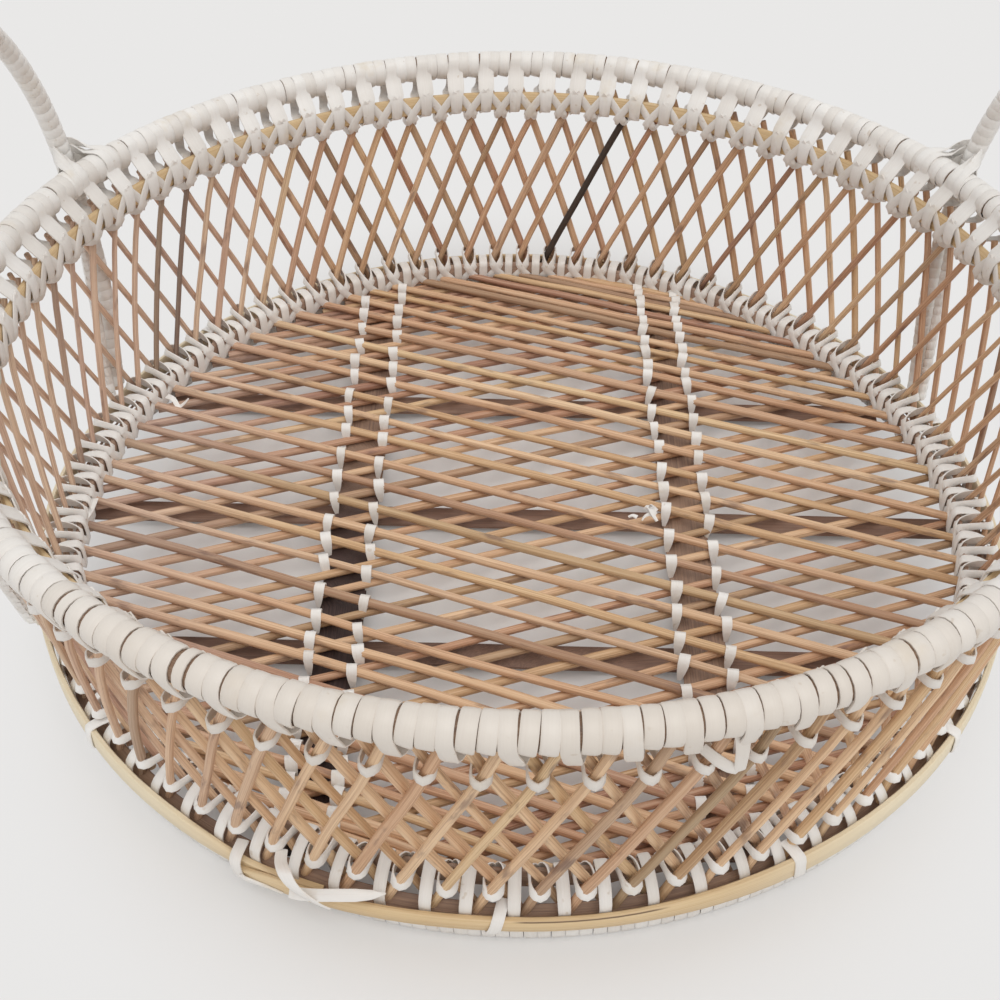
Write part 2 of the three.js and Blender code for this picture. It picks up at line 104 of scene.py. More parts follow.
# The outer base hoop's ends lap: its outer end stands off and hangs a little.
LAP_START = math.radians(-117)
LAP = math.radians(9)
LAP_EASE = math.radians(27)
LAP_STAND_OFF = 2.5
LAP_SAG = 0.9
# Its height, as a share, at a number of degrees from the outer end
HOOP_SHARES = (
    (0, 0.25), (5, 0.6), (35, 0.63), (57, 1), (120, 1), (170, 0.78), (240, 0.78), (275, 1), (325, 1.15),
    (350, 0.95), (369, 0.15),
)

# Floor
FLOOR_RADIUS = 203.6
FLOOR_ROD_RADIUS = 2.05
FLOOR_RODS = 40
FLOOR_TURN = 4.5  # nodes that each layer is turned from the front-to-back line
LOWER_FLOOR_HEIGHT = 10.3
UPPER_FLOOR_HEIGHT = 14.6
SLAT_OFFSET = 79
SLAT_WIDTH = 20
SLAT_HEIGHT = 6.9
CROSS_SLAT_WIDTH = 13
CROSS_SLAT_PITCH = 88
CROSS_SLAT_HEIGHT = 4.4
SLAT_THICK = 2.2
SLAT_TURN = math.radians(0.9)
TIE_WIDTH = 4.7

# Handles
HANDLE_TURN = math.radians(2)
HANDLE_FOOT_ANGLE = math.radians(21.2)
HANDLE_WAIST_ANGLE = math.radians(25)
HANDLE_RIM_ANGLE = math.radians(27)
HANDLE_FOOT_HEIGHT = 22.5
HANDLE_WAIST_HEIGHT = 76
HANDLE_RISE = 110
HANDLE_LEANS = {"left": 0.09, "right": 0.16}
LEG_RADIUS = 4.75
LEG_PITCH = 5
LEG_GAP = LEG_RADIUS + CLEARANCE
LEG_FOOT_RADIUS = 218.1 + LEG_GAP
RIM_LEG_RADIUS = 244.65
STRAND_RADIUS = 2.3
STRAND_PITCH = 4.6
STRAND_ANGLE = math.radians(2.05)
STRAND_FOOT = 21.8
STRAND_TOP = 119.5

# Turns of the rim's binding that leave a gap beside them, and the share of its width that each one has
GAPS_AT = {106: 0.72, 140: 0.66, 148: 0.64, 31: 0.8, 64: 0.8, 205: 0.75}

# How far the rim stands out of round, at every eighth of a turn from the right-hand side
OUT_OF_ROUND = (-1.5, -2.6, -0.1, -1.1, -0.3, -0.2, -2.3, -1.6)


def around(radius, angle, height):
    return Vector((radius * math.cos(angle), radius * math.sin(angle), height))


def outward(point):
    return Vector((point.x, point.y, 0)).normalized()


def sideways(angle):
    """The direction along the rim, at an angle about the basket."""
    return Vector((-math.sin(angle), math.cos(angle), 0))


def clamp(value, low=0.0, high=1.0):
    return min(max(value, low), high)


def ease(share):
    share = clamp(share)
    return share * share * (3 - 2 * share)


def wall_radius(height):
    slope = (UPPER_NODE_RADIUS - LOWER_NODE_RADIUS) / (UPPER_NODE_HEIGHT - LOWER_NODE_HEIGHT)
    return LOWER_NODE_RADIUS + slope * (height - LOWER_NODE_HEIGHT)


def lower_node(node):
    return FIRST_NODE - node * STEP


def upper_node(node):
    return FIRST_NODE - (node + TWIST) * STEP


def rod_angle(node, shift, height):
    """Where a rod that starts at a lower node has got to at a height."""
    rise = (height - LOWER_NODE_HEIGHT) / (UPPER_NODE_HEIGHT - LOWER_NODE_HEIGHT)
    return lower_node(node) - (shift + TWIST) * STEP * rise


def hand_shaped(point):
    """Moves a point as the real basket, bent by hand, departs from a round one, most of all at the rim."""
    eighth = math.atan2(point.y, point.x) / (math.pi / 4) % 8
    before = int(eighth)
    share = ease(eighth - before)
    away = OUT_OF_ROUND[before % 8] * (1 - share) + OUT_OF_ROUND[(before + 1) % 8] * share
    return point + outward(point) * away * ease((point.z - ROD_FOOT) / (RIM_HEIGHT - ROD_FOOT))


def smooth_path(points, steps):
    """A centripetal Catmull-Rom curve through the points, with a number of steps in each stretch."""
    points = [Vector(point) for point in points]
    points = [2 * points[0] - points[1], *points, 2 * points[-1] - points[-2]]
    path = [points[1]]
    for a, b, c, d in zip(points, points[1:], points[2:], points[3:]):
        knots = [0]
        for start, stop in ((a, b), (b, c), (c, d)):
            knots.append(knots[-1] + math.sqrt((stop - start).length))
        for i in range(1, steps + 1):
            t = knots[1] + (knots[2] - knots[1]) * i / steps
            ab = a.lerp(b, (t - knots[0]) / (knots[1] - knots[0]))
            bc = b.lerp(c, (t - knots[1]) / (knots[2] - knots[1]))
            cd = c.lerp(d, (t - knots[2]) / (knots[3] - knots[2]))
            abc = ab.lerp(bc, (t - knots[0]) / (knots[2] - knots[0]))
            bcd = bc.lerp(cd, (t - knots[1]) / (knots[3] - knots[1]))
            path.append(abc.lerp(bcd, (t - knots[1]) / (knots[2] - knots[1])))
    return path


def spread(values, steps):
    """Each value, and the even steps on the way to the next one."""
    pairs = zip(values, values[1:])
    return [a + (b - a) * (i / steps) for a, b in pairs for i in range(steps)] + [values[-1]]


def round_outline(radius, sides):
    turn = 2 * math.pi / sides
    return [(radius * math.cos(i * turn), radius * math.sin(i * turn)) for i in range(sides)]


def strip_outline(width, thick):
    """A flat strip with a crowned face, towards +y."""
    w, t = width / 2, thick / 2
    return [(-w, -t), (w, -t), (w, 0.1 * t), (0.82 * w, 0.8 * t), (0, t), (-0.82 * w, 0.8 * t), (-w, 0.1 * t)]


def hoop_outline(tall, thick):
    w, t = tall / 2, thick / 2
    inner = [(-w, -t * 0.6), (-w + 0.7, -t), (w - 0.7, -t), (w, -t * 0.6)]
    return inner + [(w, t * 0.6), (w - 0.7, t), (0, t * 1.06), (-w + 0.7, t), (-w, t * 0.6)]


def look_up(rows, place):
    """Reads a table of places and values, with smooth steps between them."""
    for (a, first), (b, second) in zip(rows, rows[1:]):
        if place <= b:
            return first + (second - first) * ease((place - a) / (b - a))
    return rows[-1][1]


def wander(place, size, seed):
    """A small smooth offset that differs from strand to strand."""
    return noise.noise(Vector((place, seed * 7.31, seed * 1.77))) * size


def add_object(name, data):
    made = bpy.data.objects.new(name, data)
    bpy.context.scene.collection.objects.link(made)
    return made


def add_piece(name, bm, look):
    mesh = bpy.data.meshes.new(name)
    bm.to_mesh(mesh)
    bm.free()
    mesh.materials.append(look)
    return add_object(name, mesh)


class Weave:
    """One piece that gathers many strands."""

    def __init__(self, seed):
        self.bm = bmesh.new()
        self.scratch = bpy.data.meshes.new("scratch")
        self.dice = random.Random(seed)

    def strand(self, path, outline, faces, tone=0.5, dark=0.0, widths=None, closed=False):
        """Extrudes the outline along the path, with its +y side towards faces.

        Faces and tone are one value for the whole strand, or one for each of its points.
        """
        bm = bmesh.new()
        grain = bm.verts.layers.float_vector.new("grain")
        shade = bm.verts.layers.float.new("tone")
        weathered_or_shaded = bm.verts.layers.float.new("dark")
        corners = bmesh.ops.create_circle(bm, segments=len(outline), radius=1)["verts"]
        for vert, (x, y) in zip(corners, outline):
            vert[grain] = (0, x, y)
            vert[weathered_or_shaded] = dark
        first_edges = bm.edges[:]
        edges = first_edges
        along = 0
        for i, point in enumerate(path):
            if i:
                along += (point - path[i - 1]).length
                made = bmesh.ops.extrude_edge_only(bm, edges=edges)["geom"]
                corners = [item for item in made if isinstance(item, bmesh.types.BMVert)]
                edges = [item for item in made if isinstance(item, bmesh.types.BMEdge)]
            ahead = path[(i + 1) % len(path)] if closed else path[min(i + 1, len(path) - 1)]
            behind = path[i - 1] if closed else path[max(i - 1, 0)]
            tangent = (ahead - behind).normalized()
            face = faces if isinstance(faces, Vector) else faces[i]
            side = tangent.cross(face).normalized()
            up = side.cross(tangent)
            stretch = widths[i] if widths else 1
            for vert in corners:
                vert[shade] = tone if isinstance(tone, (int, float)) else tone[i]
                x, y = vert[grain][1], vert[grain][2]
                vert.co = point + side * x * stretch + up * y
                vert[grain] = (along, x, y)
        if closed:
            bmesh.ops.bridge_loops(bm, edges=first_edges + edges)
        else:
            bmesh.ops.holes_fill(bm, edges=bm.edges[:], sides=0)
        bmesh.ops.recalc_face_normals(bm, faces=bm.faces[:])
        bm.to_mesh(self.scratch)
        bm.free()
        self.bm.from_mesh(self.scratch)

    def strip(self, points, across, width, thick=THIN_PEEL, steps=2, tone=0.5, dark=0.0, widths=None):
        """A strip of peel through the points, whose width lies along across."""
        path = smooth_path(points, steps)
        faces = []
        for i in range(len(path)):
            tangent = path[min(i + 1, len(path) - 1)] - path[max(i - 1, 0)]
            faces.append(across.cross(tangent))
        stretches = spread(widths, steps) if widths else None
        self.strand(path, strip_outline(width, thick), faces, tone, dark, stretches)

    def finish(self, name, slot, *nodes, sharp=40):
        """Makes the strands one piece of the scene, in place of the nodes."""
        for vert in self.bm.verts:
            vert.co = hand_shaped(vert.co) * MM
        for face in self.bm.faces:
            face.smooth = True
        piece = add_piece(name, self.bm, LOOKS[slot])
        piece.data.set_sharp_from_angle(angle=math.radians(sharp))
        bpy.data.meshes.remove(self.scratch)
        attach(piece, "root")
        if nodes:
            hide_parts(*nodes)


class Socket:
    """A node's output that Python's operators work on."""

    def __init__(self, paint, socket):
        self.paint = paint
        self.socket = socket

    def math(self, operation, *others):
        return self.paint.node("ShaderNodeMath", {"operation": operation}, self, *others)["Value"]

    def __add__(self, other):
        return self.math("ADD", other)

    def __sub__(self, other):
        return self.math("SUBTRACT", other)

    def __mul__(self, other):
        return self.math("MULTIPLY", other)

    def __rsub__(self, other):
        return self.paint.node("ShaderNodeMath", {"operation": "SUBTRACT"}, other, self)["Value"]

    __radd__ = __add__
    __rmul__ = __mul__

    def between(self, low, high):
        """0 at low, 1 at high, and smooth in between."""
        settings = {"interpolation_type": "SMOOTHSTEP"}
        return self.paint.node("ShaderNodeMapRange", settings, self, low, high)["Result"]


class Paint:
    """The nodes of one material, or of the world."""

    def __init__(self, owner):
        owner.use_nodes = True
        self.owner = owner
        self.tree = owner.node_tree

    def node(self, kind, settings, *values, **named):
        """Adds a node with its settings, and the values or links of its sockets by number or by name."""
        made = self.tree.nodes.new(kind)
        for key, value in settings.items():
            if key == "stops":
                self.set_stops(made.color_ramp, value)
            else:
                setattr(made, key, value)
        for key, value in [*enumerate(values), *named.items()]:
            self.feed(made.inputs[key], value)
        return {output.name: Socket(self, output) for output in made.outputs if output.enabled}

    def feed(self, socket, value):
        if isinstance(value, Socket):
            self.tree.links.new(value.socket, socket)
        else:
            socket.default_value = value

    def set_stops(self, ramp, stops):
        while len(ramp.elements) < len(stops):
            ramp.elements.new(1)
        for element, (place, colour) in zip(ramp.elements, stops):
            element.position = place
            element.color = colour

    def attribute(self, name, output="Fac"):
        return self.node("ShaderNodeAttribute", {"attribute_name": name})[output]

    def place(self, stretch, source=None):
        """Coordinates for a pattern, stretched by a factor along each axis."""
        vector = source or self.node("ShaderNodeTexCoord", {})["Object"]
        return self.node("ShaderNodeMapping", {}, Vector=vector, Scale=stretch)["Vector"]

    def grain(self, along, across):
        """Coordinates that run along each strand, in strokes of a length and a width in millimetres."""
        shifted = self.node(
            "ShaderNodeVectorMath", {"operation": "MULTIPLY_ADD"},
            self.attribute("tone"), (977.0, 613.0, 389.0), self.attribute("grain", "Vector"),
        )["Vector"]
        return self.place((1 / along, 1 / across, 1 / across), shifted)

    def noise(self, vector, detail=3.0, roughness=0.55):
        values = {"Vector": vector, "Scale": 1.0, "Detail": detail, "Roughness": roughness}
        return self.node("ShaderNodeTexNoise", {"noise_dimensions": "3D"}, **values)["Fac"]

    def mix(self, share, first, second):
        """Mixes two colours. Their sockets have the names of others, so they go by number."""
        made = self.tree.nodes.new("ShaderNodeMix")
        made.data_type = "RGBA"
        self.feed(made.inputs["Factor"], share)
        self.feed(made.inputs[6], first)
        self.feed(made.inputs[7], second)
        return Socket(self, made.outputs[2])

    def where(self, axis):
        """A coordinate on the object, in metres."""
        vector = self.node("ShaderNodeTexCoord", {})["Object"]
        return self.node("ShaderNodeSeparateXYZ", {}, vector)[axis]

    def ramp(self, value, *stops):
        return self.node("ShaderNodeValToRGB", {"stops": stops}, value)["Color"]

    def bump(self, height, distance, strength=1.0):
        return self.node("ShaderNodeBump", {}, Height=height, Distance=distance, Strength=strength)["Normal"]

    def seen_directly(self):
        """1 where the camera sees a surface itself, or in a mirror or through glass."""
        path = self.node("ShaderNodeLightPath", {})
        seen = path["Is Camera Ray"] + path["Is Glossy Ray"] + path["Is Transmission Ray"]
        return seen.math("MINIMUM", 1.0)

    def finish(self, colour, roughness, normal=None):
        shader = self.tree.nodes["Principled BSDF"]
        self.feed(shader.inputs["Base Color"], colour)
        self.feed(shader.inputs["Roughness"], roughness)
        if normal:
            self.feed(shader.inputs["Normal"], normal)
        return self.owner


def material(name):
    return Paint(bpy.data.materials.new(name))


def colour(red, green, blue):
    """A colour as it looks on a screen, from 0 to 255, made linear for the shader."""
    linear = [((part / 255 + 0.055) / 1.055) ** 2.4 for part in (red, green, blue)]
    return (*linear, 1)


def peel_look():
    paint = material("peel")
    tone = paint.attribute("tone")
    fibre = paint.noise(paint.grain(24, 0.45), detail=4.0)
    blotch = paint.noise(paint.place((38, 38, 38)), detail=4.0, roughness=0.65)
    base = paint.ramp(
        tone * 0.6 + fibre * 0.4,
        (0.15, colour(219, 212, 204)),
        (0.5, colour(231, 226, 220)),
        (0.85, colour(240, 237, 233)),
    )
    stained = paint.mix(blotch.between(0.56, 0.74) * 0.45, base, colour(214, 198, 172))
    dirt = paint.noise(paint.place((210, 210, 210)), detail=2.0).between(0.68, 0.76)
    surface = paint.mix(dirt * 0.35, stained, colour(178, 152, 118))
    # Painted shade: the peel on the near part of the rim is darkened and warmed towards (212, 198, 182).
    near_rim = paint.where("Z").between(0.09, 0.12) * paint.where("Y").between(-0.15, -0.21)
    # Painted light: the peel low down on the left and right sides is lightened towards near-white.
    side_light_mask = paint.where("Z").between(0.034, 0.028) * paint.where("X").math("ABSOLUTE").between(0.08, 0.17)
    painted_side_light = paint.mix(side_light_mask * 0.8, surface, colour(250, 248, 244))
    shaded_near_rim = paint.mix(near_rim * 0.5, painted_side_light, colour(212, 198, 182))
    worn = paint.mix(paint.attribute("dark"), shaded_near_rim, colour(142, 118, 100))
    return paint.finish(worn, 0.3 + fibre * 0.2, paint.bump(fibre, 0.00014, 0.7))


def rattan_look():
    paint = material("rattan_rod")
    tone = paint.attribute("tone")
    fibre = paint.noise(paint.grain(60, 0.5), detail=5.0, roughness=0.6)
    patch = paint.noise(paint.grain(28, 6), detail=4.0, roughness=0.6)
    base = paint.ramp(
        tone,
        (0.0, colour(238, 205, 166)),
        (0.35, colour(223, 182, 143)),
        (0.65, colour(201, 153, 120)),
        (1.0, colour(164, 118, 97)),
    )
    hue = (tone * 37).math("FRACT")
    yellowed = paint.mix(hue.between(0.6, 0.95) * 0.5, base, colour(214, 182, 130))
    reddened = paint.mix(hue.between(0.35, 0.05) * 0.4, yellowed, colour(168, 118, 98))
    # Painted light: rods towards the left side are made paler and pinker.
    left_side_light = paint.mix(paint.where("X").between(-0.08, -0.2) * 0.5, reddened, colour(222, 196, 184))
    streaked = paint.mix(fibre.between(0.42, 0.7) * 0.5, left_side_light, colour(150, 108, 84))
    pale = paint.mix(fibre.between(0.58, 0.3) * 0.35, streaked, colour(238, 214, 182))
    stained = paint.mix(patch.between(0.57, 0.72) * 0.6, pale, colour(112, 84, 78))
    # Weathered rods go darker by the dark attribute, and so do the rim and foot cores, where it is painted
    # shade for the gaps between their turns.
    weathered_or_shaded = paint.mix(paint.attribute("dark"), stained, colour(48, 38, 34))
    return paint.finish(weathered_or_shaded, 0.42 + fibre * 0.3, paint.bump(fibre, 0.0002, 0.6))


def bamboo_look():
    paint = material("bamboo_hoop")
    fibre = paint.noise(paint.grain(90, 0.6), detail=5.0)
    cloud = paint.noise(paint.place((14, 14, 60)), detail=3.0)
    base = paint.ramp(
        fibre * 0.65 + cloud * 0.35,
        (0.3, colour(196, 160, 112)),
        (0.5, colour(219, 190, 146)),
        (0.72, colour(233, 209, 170)),
    )
    low = paint.where("Z").between(0.03, 0.024)
    # Painted light: the hoop low down on the left and right sides is lightened towards pale straw.
    painted_side_light = paint.where("X").math("ABSOLUTE").between(0.06, 0.15) * low
    side_lit_bamboo = paint.mix(painted_side_light * 0.85, base, colour(242, 229, 200))
    across = paint.node("ShaderNodeSeparateXYZ", {}, paint.attribute("grain", "Vector"))["Y"]
    length = paint.where("X").between(0.0, 0.006) * paint.where("X").between(0.058, 0.05)
    crack = (across + 4.5).math("ABSOLUTE").between(0.7, 0.2) * length
    split = paint.mix(crack * low * 0.85, side_lit_bamboo, colour(92, 66, 48))
    return paint.finish(split, 0.38 + fibre * 0.2, paint.bump(fibre, 0.0002, 0.7))


def cane_look(name, dark, middle, light):
    """Split cane. A strand's tone moves it from dark, at 0, to light, at 1."""
    paint = material(name)
    fibre = paint.noise(paint.grain(70, 0.7), detail=6.0, roughness=0.65)
    patch = paint.noise(paint.place((24, 24, 60)), detail=4.0)
    shade = fibre * 0.5 + patch * 0.5 + paint.attribute("tone") * 0.5 - 0.25
    base = paint.ramp(shade, (0.25, dark), (0.52, middle), (0.8, light))
    return paint.finish(base, 0.5 + fibre * 0.3, paint.bump(fibre, 0.0004, 0.8))


def floor_look():
    """Pale paper that keeps its shadow near the basket and looks evenly lit farther out."""
    paint = material("pale_floor")
    pale = colour(*PAPER)
    paint.finish(pale, 0.85)
    glow = paint.node("ShaderNodeEmission", {}, Color=pale, Strength=1.0)["Emission"]
    output = paint.tree.nodes["Material Output"]
    diffuse = Socket(paint, paint.tree.nodes["Principled BSDF"].outputs["BSDF"])
    place = paint.place((1.3, 0.95, 1))
    distance = paint.node("ShaderNodeVectorMath", {"operation": "LENGTH"}, place)["Value"]
    share = paint.seen_directly() * (distance.between(0.2, 0.31) * 0.82 + 0.12)
    shown = paint.node("ShaderNodeMixShader", {}, share, diffuse, glow)["Shader"]
    paint.feed(output.inputs["Surface"], shown)
    return paint.owner


LOOKS = {
    "peel": peel_look(),
    "rattan_rod": rattan_look(),
    "bamboo_hoop": bamboo_look(),
    "dark_cane": cane_look("dark_cane", colour(56, 42, 40), colour(100, 78, 72), colour(172, 142, 120)),
    "grey_cane": cane_look("grey_cane", colour(96, 74, 64), colour(146, 116, 100), colour(186, 158, 138)),
}


def wall_rods(name, shift, offset, seed, dark_rods):
    """One layer of straight rods, thick and thin as they grew, and slimmer at the two sides."""
    weave = Weave(seed)
    dice = weave.dice
    for node in range(NODES):
        middle = rod_angle(node, shift, (ROD_FOOT + ROD_TOP) / 2)
        slim = 1 - 0.3 * math.cos(middle) ** 2
        radius = ROD_RADIUS * slim * dice.uniform(0.82, 1.13)
        bow = dice.uniform(-0.6, 0.6)
        path = []
        for i in range(ROD_STEPS + 1):
            share = i / ROD_STEPS
            height = ROD_FOOT + share * (ROD_TOP - ROD_FOOT)
            sway = bow * math.sin(math.pi * share) + wander(share * 3, 0.8, node + seed * 100)
            radius_here = clamp(wall_radius(height), *ROD_REACH) + offset
            path.append(around(radius_here, rod_angle(node, shift, height) + sway / radius_here, height))
        tone = clamp(dice.gauss(0.36 + 0.16 * math.sin(middle), 0.2))
        stray = dice.uniform(0.2, 0.4) if dice.random() < 0.05 else 0.0
        faces = [outward(point) for point in path]
        weave.strand(path, round_outline(radius, ROD_SIDES), faces, tone, dark_rods.get(node, stray))
    weave.finish(name, "rattan_rod", name, sharp=60)


def rim_point(angle, turn, radius):
    """A point round the roll of the rim. A turn of 0 looks outwards and a quarter turn up."""
    return around(RIM_RADIUS + radius * math.cos(turn), angle, RIM_HEIGHT + radius * math.sin(turn))


def ring_path(radius, height, stations):
    return [around(radius, 2 * math.pi * i / stations, height) for i in range(stations)]


def roll_core(node, seed, radius, height, outline, tone, dark):
    """The cane inside the binding of the rim or the foot. Its dark share is painted shade, for where it shows
    in the gaps between the turns.
    """
    weave = Weave(seed)
    weave.strand(ring_path(radius, height, RING_STEPS), outline, UP, tone, dark, closed=True)
    weave.finish(f"{node}_core", "rattan_rod", node, sharp=60)


def rim_wraps():
    """The plain turns of peel, two between each pair of turns that also hold the upper hoop."""
    weave = Weave(12)
    dice = weave.dice
    lie = RIM_ROLL - PEEL / 2
    stations = 16
    for wrap in range(TURNS_PER_NODE * NODES):
        if wrap % TURNS_PER_NODE == 0:
            continue
        middle = upper_node(0.5 + wrap / TURNS_PER_NODE) + dice.uniform(-0.35, 0.35) / RIM_RADIUS
        tilt = dice.uniform(1.2, 3.8) / RIM_RADIUS
        swell = dice.uniform(-0.15, 0.15)
        width = dice.uniform(5.6, 5.95) * GAPS_AT.get(wrap, 1)
        path, faces = [], []
        for i in range(stations + 1):
            share = i / stations
            turn = -math.pi / 2 - 2 * math.pi * share
            point = rim_point(middle - (share - 0.5) * tilt, turn, lie + swell)
            path.append(point)
            faces.append(point - around(RIM_RADIUS, middle, RIM_HEIGHT))
        weave.strand(path, strip_outline(width, PEEL), faces, dice.uniform(0.2, 0.9))
    weave.finish("rim_wraps", "peel", "rim_binding")


def hoop_wraps():
    """The turns of peel that go on from the rim, in below it and up behind the upper hoop."""
    weave = Weave(13)
    dice = weave.dice
    lie = RIM_ROLL - PEEL / 2
    rim, level = RIM_RADIUS, RIM_HEIGHT
    hoop_face, base = UPPER_HOOP_RADIUS, UPPER_HOOP_BASE
    inner = hoop_face - HOOP_THICK - 1.5
    top = base + UPPER_HOOP_TALL
    # Aside, radius, height and width of the turn, from under the hoop round to there again
    shape = (
        (0.6, hoop_face - 1, base - 1.2, 1),
        (0.3, inner, base + 0.4, 0.95),
        (0.1, inner, top - 1.2, 1.12),
        (-0.1, inner + 2, top + 3, 1.52),
        (-0.3, rim - lie * 0.97, level - lie * 0.25, 1.5),
        (-0.4, rim - lie * 0.74, level + lie * 0.67, 1.1),
        (-0.5, rim, level + lie, 1),
        (-0.6, rim + lie * 0.74, level + lie * 0.67, 1),
        (-0.5, rim + lie, level - lie * 0.05, 1),
        (0.1, rim + lie * 0.86, level - lie * 0.72, 1),
        (0.9, rim + 3.8, level - 9, 0.98),
        (1.9, rim + 1.9, level - 12.3, 0.78),
        (3.4, rim - 1.6, level - 12.8, 0.74),
        (4.6, rim - 6, level - 12.4, 0.9),
        (4, hoop_face + 0.8, base + 5, 1),
        (2, hoop_face + 0.3, base + 0.4, 1.05),
        (1, hoop_face - 0.6, base - 1, 1),
    )
    widths = [row[3] for row in shape]
    for node in range(NODES):
        middle = upper_node(node + 0.5) + dice.uniform(-0.3, 0.3) / RIM_RADIUS
        veer = dice.uniform(-1, 1)
        points = []
        for i, (aside, radius, height, _) in enumerate(shape):
            moved = aside + veer if 9 < i < 15 else aside
            points.append(around(radius, middle + moved / RIM_RADIUS, height))
        tone = dice.uniform(0.3, 0.95)
        weave.strip(points, -sideways(middle), dice.uniform(5.6, 5.9), PEEL, 2, tone, widths=widths)
    weave.finish("rim_hoop_wraps", "peel")


def lacing(name, seed, node_angle, half, tip=0.0):
    """At each node an arm across the hoop, the half loop round the outside of a crossing, and another arm.

    Each row of the half gives nodes aside, radius, height and the way the strip faces, in degrees.
    """
    weave = Weave(seed)
    dice = weave.dice
    steps = 2
    crossed = [(-aside, radius - 0.4, height, -turn) for aside, radius, height, turn in reversed(half[:-1])]
    for node in range(NODES):
        lift = dice.uniform(-0.5, 0.5)
        points, faces = [], []
        for aside, radius, height, turn in [*half, *crossed]:
            angle = node_angle(node) + aside * STEP
            points.append(around(radius, angle, height + lift))
            turned = math.radians(turn)
            level = around(1, angle, 0) * math.cos(turned) + sideways(angle) * math.sin(turned)
            faces.append(level + UP * tip * clamp(math.cos(turned)))
        outline = strip_outline(LACING_WIDTH * dice.uniform(0.92, 1.08), THIN_PEEL)
        weave.strand(smooth_path(points, steps), outline, spread(faces, steps), dice.uniform(0.3, 0.95))
    weave.finish(f"{name}_strips", "peel", name)


def upper_lacing():
    """X-shaped lacing over the upper hoop, with the half loops below it."""
    inner = UPPER_HOOP_RADIUS - HOOP_THICK - 0.45
    half = (
        (0.51, inner, 122.4, 180),
        (0.4, inner, 120.4, 180),
        (0.0, inner, 112, 180),
        (-0.12, inner + 0.4, 108.2, -176),
        (-0.175, 221.8, 106.7, -130),
        (-0.19, 226.0, 106.4, -95),
        (-0.17, 229.6, 106.1, -55),
        (0.0, 231.5, 105.5, 0),
    )
    lacing("upper_lacing", 14, upper_node, half)


def lower_lacing():
    """The same over the lower hoop, with the half loops above it."""
    inner = LOWER_HOOP_RADIUS - HOOP_THICK - 0.45
    half = (
        (0.46, inner, 10.8, 180),
        (0.38, inner, 12.4, 180),
        (0.0, inner, 18.4, 180),
        (-0.14, inner, 22.2, -178),
        (-0.205, 205.4, 23.8, -140),
        (-0.22, 209.2, 25.2, -100),
        (-0.215, 213.2, 26, -88),
        (-0.175, 216.4, 26.1, -52),
        (0.0, 217.7, 25.3, 0),
    )
    lacing("lower_lacing", 15, lower_node, half, tip=0.5)


def base_straps():
    """Strips between the lower nodes, over the lower hoop and down behind the outer hoop."""
    weave = Weave(16)
    dice = weave.dice
    inner = LOWER_HOOP_RADIUS - HOOP_THICK - 1.3
    shape = (
        (inner, 11.6),
        (inner, LOWER_HOOP_TOP - 1),
        (inner + 1.2, LOWER_HOOP_TOP + 1.2),
        (LOWER_HOOP_RADIUS + 0.6, LOWER_HOOP_TOP + 1.9),
        (LOWER_HOOP_RADIUS + 4.4, LOWER_HOOP_TOP + 1.5),
        (wall_radius(23) + 1.4, 22),
        (218.0, 18.4),
        (218.7, 14.5),
        (218.3, 9.8),
    )
    widths = (1, 1, 1, 1, 1, 1, 0.96, 0.9, 0.86)
    for node in range(NODES):
        middle = lower_node(node + 0.5) + dice.uniform(-0.7, 0.7) / LOWER_NODE_RADIUS
        lean = dice.uniform(-1.6, 1.6) / LOWER_NODE_RADIUS
        rise = dice.uniform(-0.2, 0.7)
        points = []
        for i, (radius, height) in enumerate(shape):
            hump = rise if 1 < i < 6 else 0
            points.append(around(radius, middle + lean * i / len(shape), height + hump))
        width, tone = dice.uniform(4.3, 4.9), dice.uniform(0.1, 0.8)
        weave.strip(points, -sideways(middle), width, tone=tone, widths=widths)
    weave.finish("base_straps", "peel")


def hoop(name, node, slot, seed, outline, radius, height, tone, lean=0.0):
    """A flat strip bent to a ring. Its face leans down by the share lean."""
    weave = Weave(seed)
    path = ring_path(radius, height, HOOP_STEPS)
    weave.strand(path, outline, [outward(point) - UP * lean for point in path], tone, closed=True)
    weave.finish(name, slot, node, sharp=50)


def inner_hoops():
    """The upper and the lower hoop that the lacings cross."""
    outline = hoop_outline(UPPER_HOOP_TALL, HOOP_THICK)
    middle = UPPER_HOOP_BASE + UPPER_HOOP_TALL / 2
    radius = UPPER_HOOP_RADIUS - HOOP_THICK / 2
    hoop("upper_hoop_strip", "upper_inner_hoop", "bamboo_hoop", 17, outline, radius, middle, 0.5)
    outline = hoop_outline(LOWER_HOOP_TOP - LOWER_HOOP_BASE, HOOP_THICK)
    middle = (LOWER_HOOP_TOP + LOWER_HOOP_BASE) / 2
    radius = LOWER_HOOP_RADIUS - HOOP_THICK / 2
    hoop("lower_hoop_strip", "lower_inner_hoop", "grey_cane", 18, outline, radius, middle, 0.9)


def dark_band():
    """The dark band behind the outer base hoop, which leans outwards."""
    outline = hoop_outline(BAND_WIDTH, BAND_THICK)
    radius, height = BAND_RADIUS, BAND_HEIGHT
    hoop("base_band_strip", "dark_base_band", "dark_cane", 20, outline, radius, height, 0.95, BAND_LEAN)


def base_hoop_lie(past):
    """The outer base hoop's radius, lower edge and top, at an angle past its outer end."""
    outer_end = 1 - ease(past / LAP_EASE)
    inner_end = ease((past - 2 * math.pi) / LAP)
    face = BASE_HOOP_RADIUS + LAP_STAND_OFF * outer_end - 2.2 * inner_end
    base = BASE_HOOP_BASE - LAP_SAG * outer_end + 0.8 * inner_end
    return face, base, base + BASE_HOOP_TALL * look_up(HOOP_SHARES, math.degrees(past))


